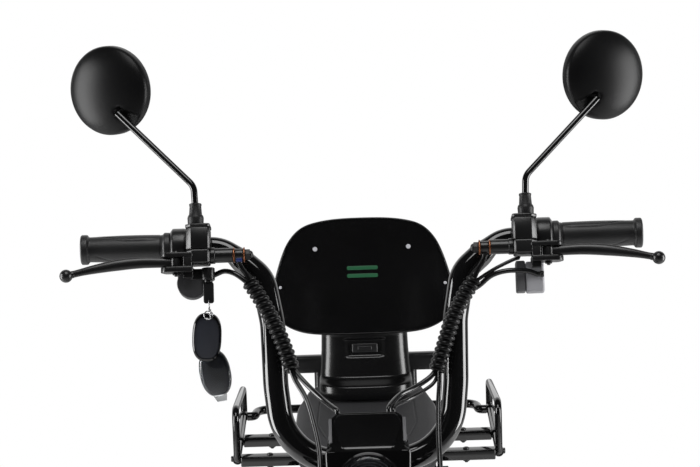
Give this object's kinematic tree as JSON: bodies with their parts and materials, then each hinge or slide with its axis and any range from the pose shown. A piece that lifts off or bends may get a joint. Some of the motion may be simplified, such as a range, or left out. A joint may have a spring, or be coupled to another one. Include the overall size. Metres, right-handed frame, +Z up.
{
  "type": "moped-style electric bicycle",
  "caption": "Pedal-assisted electric bicycle with a low seat and backrest, a high U-shaped handlebar with mirrors, side guards, cast wheels and a centre stand.",
  "frame": {"origin": "on the floor under the middle of the bicycle, midway between the wheel axles and between its sides", "axes": "the bicycle faces -Y, its own left side is +X and +Z is up"},
  "size_m": [0.7122, 1.698, 1.3141],
  "materials": {
    "gloss_black": "gloss",
    "satin_black_plastic": "satin",
    "grip_rubber": "matt",
    "hose_rubber": "satin",
    "seat_vinyl": "grained matt",
    "tyre_rubber": "matt",
    "bright_steel": "brushed",
    "black_alloy": "satin",
    "clear_lens": "clear",
    "red_lens": "gloss"
  },
  "bodies": {
    "frame": {"frame": "gloss_black", "subframe": "gloss_black", "battery_case": "satin_black_plastic", "carrier": "gloss_black", "guard_left": "gloss_black", "guard_right": "gloss_black", "seat_base": "satin_black_plastic", "seat_cushion": "seat_vinyl", "backrest_column": "gloss_black", "backrest_panel": "gloss_black", "grab_bar": "satin_black_plastic", "rear_fender": "gloss_black", "tail_lamp": "red_lens", "swingarm": "gloss_black", "shock_left": "bright_steel", "shock_right": "bright_steel", "chain": "bright_steel", "rear_caliper": "black_alloy"},
    "steering": {"fork_uppers": "gloss_black", "fork_lowers": "black_alloy", "front_fender": "gloss_black", "front_caliper": "black_alloy", "headlight_housing": "gloss_black", "headlight_lens": "clear_lens", "handlebar": "gloss_black", "throttle_housing": "satin_black_plastic", "switch_housing": "satin_black_plastic", "grip_left": "grip_rubber", "grip_right": "grip_rubber", "brake_master_left": "satin_black_plastic", "brake_master_right": "satin_black_plastic", "brake_lever_left": "satin_black_plastic", "brake_lever_right": "satin_black_plastic", "mirror_stem_left": "satin_black_plastic", "mirror_stem_right": "satin_black_plastic", "mirror_head_left": "satin_black_plastic", "mirror_head_right": "satin_black_plastic", "cables_left": "hose_rubber", "cables_right": "hose_rubber", "key": "bright_steel", "key_fobs": "satin_black_plastic"},
    "front_wheel": {"front_wheel": "black_alloy", "front_tyre": "tyre_rubber", "front_disc": "bright_steel"},
    "rear_wheel": {"rear_wheel": "black_alloy", "rear_tyre": "tyre_rubber", "rear_disc": "bright_steel"},
    "crank": {"crank": "black_alloy"},
    "pedal_left": {"pedal_left": "satin_black_plastic"},
    "pedal_right": {"pedal_right": "satin_black_plastic"},
    "stand": {"centre_stand": "gloss_black"}
  },
  "joints": [
    {"name": "steering_turn", "type": "hinge", "parent": "frame", "child": "steering", "pos_m": [0, -0.37727, 0.71766], "axis": [0, 0.3746, 0.9272], "range_deg": [-38, 38]},
    {"name": "front_wheel_roll", "type": "hinge", "parent": "steering", "child": "front_wheel", "pos_m": [0, -0.62, 0.229], "axis": [1, 0, 0], "continuous": true},
    {"name": "rear_wheel_roll", "type": "hinge", "parent": "frame", "child": "rear_wheel", "pos_m": [0, 0.62, 0.229], "axis": [1, 0, 0], "continuous": true},
    {"name": "crank_turn", "type": "hinge", "parent": "frame", "child": "crank", "pos_m": [0, 0.05, 0.29], "axis": [1, 0, 0], "continuous": true},
    {"name": "pedal_left_turn", "type": "hinge", "parent": "crank", "child": "pedal_left", "pos_m": [0.12, -0.1, 0.29], "axis": [1, 0, 0], "continuous": true},
    {"name": "pedal_right_turn", "type": "hinge", "parent": "crank", "child": "pedal_right", "pos_m": [-0.12, 0.2, 0.29], "axis": [1, 0, 0], "continuous": true},
    {"name": "stand_swing", "type": "hinge", "parent": "frame", "child": "stand", "pos_m": [0, 0.235, 0.185], "axis": [1, 0, 0], "range_deg": [0, 72]}
  ]
}
